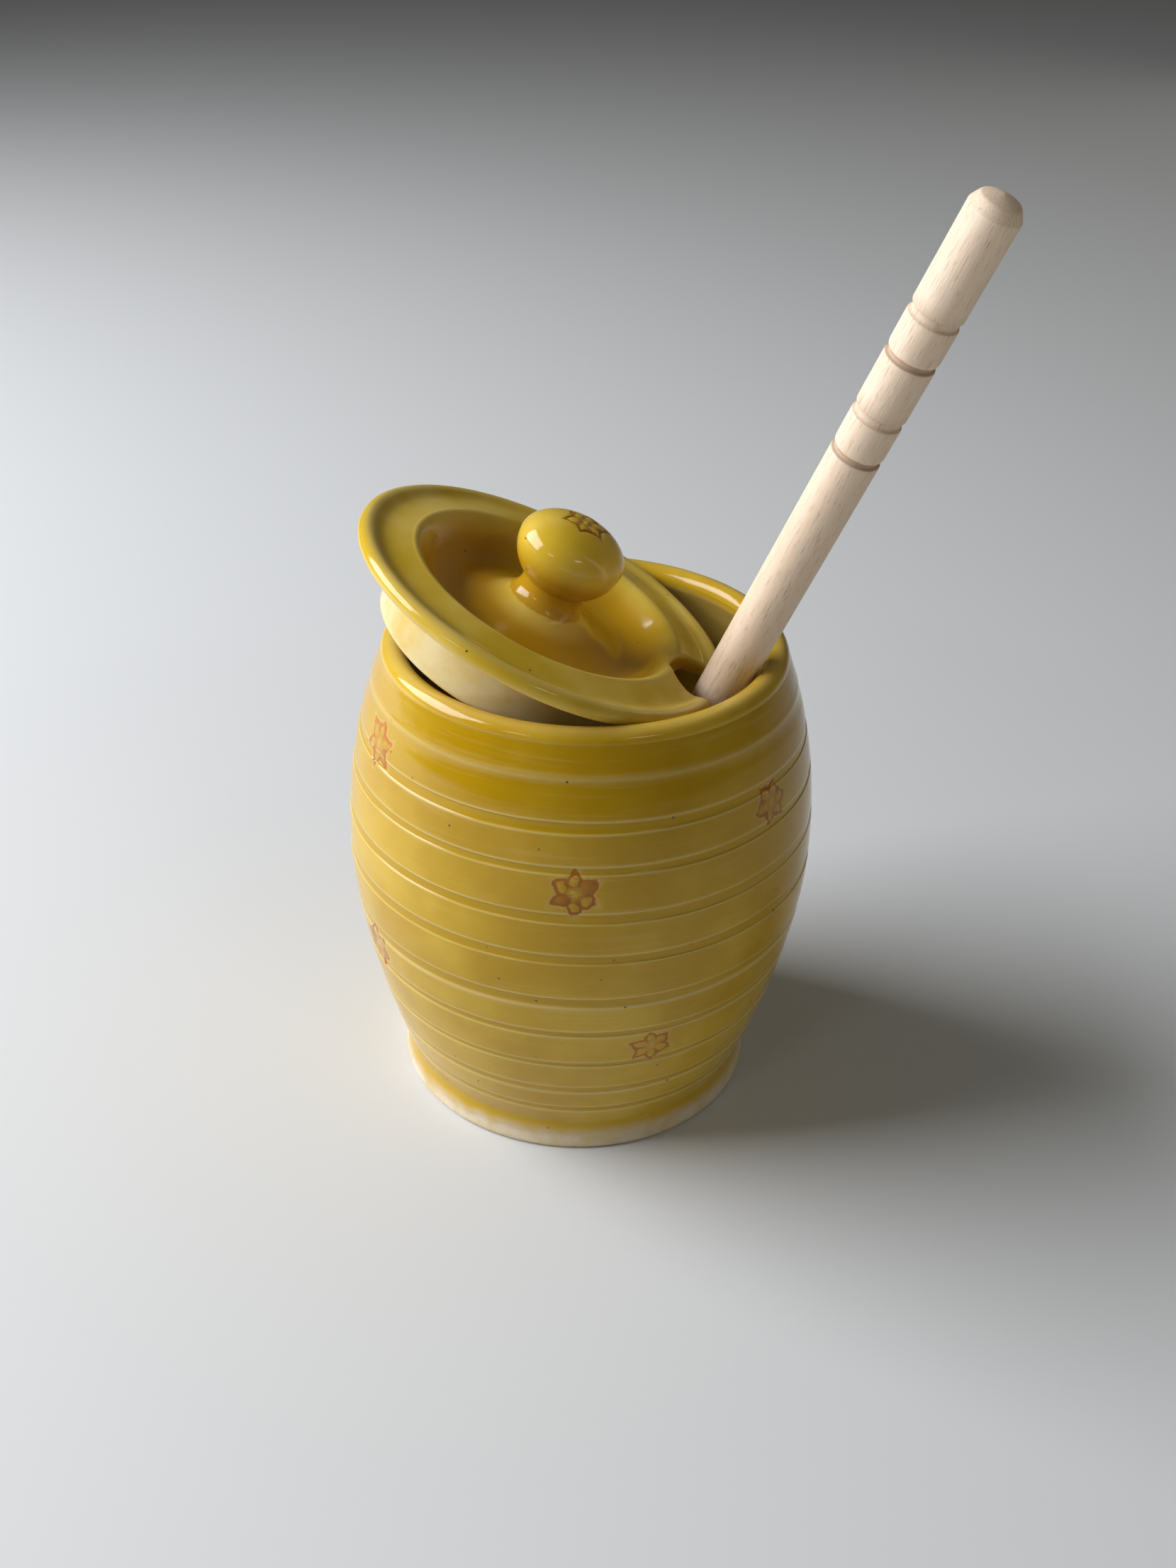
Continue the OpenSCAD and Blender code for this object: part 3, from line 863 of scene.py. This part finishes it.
def flower(s):
    """Shares of brown ink, on six petals' lines and in some whole petals, and of a pale halo round them."""
    spot = s.node("ShaderNodeSeparateXYZ", {0: s.attribute("stamp", "Vector")})
    u = s.calc("ADD", spot.outputs[0], s.step(s.noise(330, 2), 0.3, 0.7, -0.38, 0.38))
    v = s.calc("ADD", spot.outputs[1], s.step(s.noise(370, 2), 0.3, 0.7, -0.38, 0.38))
    seed = spot.outputs[2]
    turn = s.times(s.calc("ARCTAN2", v, u), PETALS / (2 * math.pi))
    nearest = s.calc("ROUND", turn)
    off = s.times(s.calc("SUBTRACT", turn, nearest), 2 * math.pi / PETALS)
    petal = s.calc("MODULO", s.calc("ADD", nearest, PETALS), PETALS)
    reach = s.calc("SQRT", s.calc("ADD", s.times(u, u), s.times(v, v)))
    long = s.calc("MULTIPLY_ADD", s.calc("SINE", s.calc("MULTIPLY_ADD", petal, 2.3, seed)), 0.14, 1.0)
    along = s.calc("DIVIDE", s.calc("SUBTRACT", s.times(reach, s.calc("COSINE", off)), PETAL_AT),
                   s.times(long, PETAL_LONG))
    point = s.calc("MULTIPLY_ADD", s.calc("SINE", s.times(seed, 1.9)), 0.4, 0.45)
    tip = s.times(point, s.calc("MINIMUM", s.calc("MAXIMUM", along, 0.0), 1.0))
    wide = s.times(s.calc("SUBTRACT", 1.0, tip), s.calc("MULTIPLY_ADD", point, 0.6, PETAL_WIDE))
    across = s.calc("DIVIDE", s.times(reach, s.calc("SINE", off)), wide)
    shape = s.calc("SQRT", s.calc("ADD", s.times(along, along), s.times(across, across)))
    far = s.times(s.calc("SUBTRACT", shape, 1.0), PETAL_WIDE)
    stroke = s.calc("DIVIDE", s.calc("ABSOLUTE", far), s.calc("MULTIPLY_ADD", point, 0.5, 0.75))
    line = s.step(stroke, INK_HALF + 0.14, INK_HALF - 0.12)
    line = s.times(line, s.step(s.calc("MULTIPLY_ADD", point, -0.8, along), -1.3, -0.9, 0.35, 1.0))
    drawn = s.calc("SINE", s.calc("ADD", s.times(petal, 4.0), s.times(seed, 2.9)))
    filled = s.step(s.calc("MULTIPLY_ADD", point, -2.0, drawn), -0.4, -0.2, 0.1, 0.75)
    inked = s.calc("MAXIMUM", s.times(line, 0.97), s.times(s.step(far, 0.1, -0.3), filled))
    halo = s.times(s.step(far, 1.5, 0.4), s.step(far, 0.1, 0.4))
    return inked, halo


def glaze(name, deep, light, pool_and_shade_colour, streaks):
    """Glossy honey glaze: deep where it pools and where shade is painted, pale where it breaks over edges
    and where a reflection is painted, gone from the bare foot.
    """
    s = Shader(name)
    pale, pool_and_shade, amber = s.attribute("pale"), s.attribute("pool_and_shade"), s.attribute("amber")
    clay, thin = s.attribute("clay"), s.attribute("thin")
    # Soft clouds of two honey colours, with faint streaks round the pot
    clouds = s.noise(38, 3)
    brushed = s.noise(1, 4, 0.6, (45, 45, 1100))
    body = s.mix(s.step(clouds, 0.35, 0.7), deep, light)
    # Amber tone, rising toward the top of the pot as painted shade
    body = s.mix(s.calc("ADD", amber, s.step(clouds, 0.6, 0.35, 0, 0.15)), body, AMBER)
    body = s.mix(s.step(brushed, 0.5, 0.75, 0, 0.2 * streaks), body, pool_and_shade_colour)
    body = s.mix(s.step(brushed, 0.5, 0.25, 0, 0.14 * streaks), body, BREAK)
    # Deep where the glaze pools, and painted shade under the knob and on the notch walls, creamy where it is
    # washed thin
    body = s.mix(s.times(pool_and_shade, s.step(clouds, 0.25, 0.6, 0.7, 0.95)), body, pool_and_shade_colour)
    washed = s.mix(s.step(s.noise(110, 4), 0.4, 0.75, 0, 0.6), CREAM, HONEY_LIGHT)
    body = s.mix(s.times(thin, s.step(clouds, 0.3, 0.7, 0.8, 1.0)), body, washed)
    # Pale where it breaks over edges and round the flowers, with a painted reflection along the lid's ridge
    ink, halo = flower(s)
    lit = s.calc("MAXIMUM", pale, s.times(halo, 0.25))
    body = s.mix(s.times(lit, s.step(brushed, 0.3, 0.7, 0.55, 0.85)), body, BREAK)
    # A deep bead along the edge above the bare foot, then ink, iron specks and bare clay
    ragged = s.calc("ADD", clay, s.step(s.noise(90, 3), 0.3, 0.7, -0.15, 0.15))
    pooled = s.times(s.step(ragged, 0.4, 1.8), s.step(ragged, 4.0, 2.2))
    body = s.mix(s.times(pooled, 0.7), body, HONEY_EDGE)
    body = s.mix(ink, body, s.mix(s.step(clouds, 0.35, 0.65), INK_DEEP, INK))
    body = s.mix(s.specks(400, 0.13, 0.09), body, SPECK)
    bare = s.mix(s.step(s.noise(260, 4), 0.3, 0.7), CLAY, CLAY_WARM)
    s.put(s.surface.inputs["Base Color"], s.mix(s.step(ragged, -1.5, 2.2), bare, body))
    # Glossy and slightly wavy glaze, dull and grainy clay
    rough = s.step(s.noise(60, 3), 0.3, 0.7, 0.09, 0.16)
    s.put(s.surface.inputs["Roughness"], s.calc("ADD", rough, s.step(ragged, 0.2, -1.0, 0, 0.5)))
    s.put(s.surface.inputs["Specular IOR Level"], 0.38)
    wavy = s.node("ShaderNodeBump", {"Strength": 0.25, "Distance": 0.0004, "Height": s.noise(140, 2)})
    grain = s.node("ShaderNodeBump", {
        "Strength": s.step(ragged, 0.2, -1.0, 0.02, 0.5), "Distance": 0.0002, "Height": s.noise(2600, 4),
        "Normal": wavy.outputs[0]})
    s.put(s.surface.inputs["Normal"], grain.outputs[0])
    return s.material


def wood(name):
    """Pale bare wood with fine short flecks along the grain."""
    s = Shader(name)
    shade = s.attribute("shade")
    long_grain = s.noise(1, 4, 0.6, (420, 420, 12))
    flecks = s.noise(1, 2, 0.6, (3000, 3000, 260))
    fibres = s.noise(1, 3, 0.6, (5200, 5200, 120))
    body = s.mix(s.step(long_grain, 0.3, 0.75), WOOD, WOOD_DARK)
    body = s.mix(s.step(flecks, 0.55, 0.69, 0, 0.7), body, WOOD_FLECK)
    body = s.mix(s.step(fibres, 0.5, 0.75, 0, 0.3), body, WOOD_FIBRE)
    # Painted shade darkens the wood in and beside the handle's grooves
    body = s.mix(s.times(shade, 0.6), body, WOOD_GROOVE)
    s.put(s.surface.inputs["Base Color"], body)
    s.put(s.surface.inputs["Roughness"], s.step(flecks, 0.3, 0.7, 0.5, 0.68))
    s.put(s.surface.inputs["Specular IOR Level"], 0.35)
    bump = s.node("ShaderNodeBump", {"Strength": 0.35, "Distance": 0.0002, "Height": fibres})
    s.put(s.surface.inputs["Normal"], bump.outputs[0])
    return s.material


def make_floor():
    far = FLOOR_HALF / MM
    corners = np.array([[-far, -far, 0], [far, -far, 0], [far, far, 0], [-far, far, 0]])
    floor = make_mesh("floor", corners, [np.array([[0, 1, 2, 3]])])
    s = Shader("floor_paper")
    s.put(s.surface.inputs["Base Color"], FLOOR_TONE)
    s.put(s.surface.inputs["Roughness"], 0.6)
    floor.data.materials.append(s.material)


def area_light(name, azimuth, elevation, far, size, power, colour, glossy):
    """A rectangular light that faces the pot from a direction given in degrees."""
    a, e = math.radians(azimuth), math.radians(elevation)
    way = Vector((math.cos(a) * math.cos(e), math.sin(a) * math.cos(e), math.sin(e)))
    data = bpy.data.lights.new(name, "AREA")
    data.shape = "RECTANGLE"
    data.size, data.size_y = size
    data.energy = power
    data.color = colour
    light = bpy.data.objects.new(name, data)
    light.location = LIGHTS_AIM + way * far
    light.visible_camera = False
    light.visible_glossy = glossy
    light.rotation_mode = "QUATERNION"
    light.rotation_quaternion = (-way).to_track_quat("-Z", "Y")
    bpy.context.scene.collection.objects.link(light)


def make_lights():
    world = bpy.data.worlds.new("studio")
    world.use_nodes = True
    background = world.node_tree.nodes["Background"]
    background.inputs["Color"].default_value = (*WORLD_TONE, 1)
    background.inputs["Strength"].default_value = WORLD_STRENGTH
    bpy.context.scene.world = world
    for light in LIGHTS:
        area_light(*light)
    bpy.context.scene.view_settings.view_transform = "Standard"


def make_camera():
    data = bpy.data.cameras.new("camera")
    data.sensor_width = SENSOR_MM
    data.lens = SENSOR_MM * FOCAL_PX / PHOTO_H
    data.clip_start, data.clip_end = 0.01, 20
    camera = bpy.data.objects.new("camera", data)
    ahead = Vector((0, math.cos(CAMERA_PITCH), -math.sin(CAMERA_PITCH)))
    up = Vector((0, math.sin(CAMERA_PITCH), math.cos(CAMERA_PITCH)))
    right = Vector((1, 0, 0))
    c, s = math.cos(CAMERA_ROLL), math.sin(CAMERA_ROLL)
    turn = Matrix((c * right - s * up, s * right + c * up, -ahead)).transposed()
    camera.matrix_world = Matrix.Translation(Vector(CAMERA_AT) * MM) @ turn.to_4x4()
    bpy.context.scene.collection.objects.link(camera)
    bpy.context.scene.camera = camera


def dress(piece, material, body):
    """Gives a piece its material, and lets it ride with the body whose node it stands for."""
    piece.data.materials.append(material)
    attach(piece, body)
    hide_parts(body)


make_camera()
make_lights()
make_floor()
dress(make_pot(), glaze("honey_glaze", HONEY, HONEY_LIGHT, POOL, 1.0), "pot")
# The lid's glaze takes the paler honey colours, painted light
dress(make_lid(), glaze("honey_glaze_lid", HONEY_LID_LIT, HONEY_PALE_LIT, LID_POOL_AND_SHADE, 0.3), "lid")
dress(make_dipper(), wood("pale_wood"), "dipper")
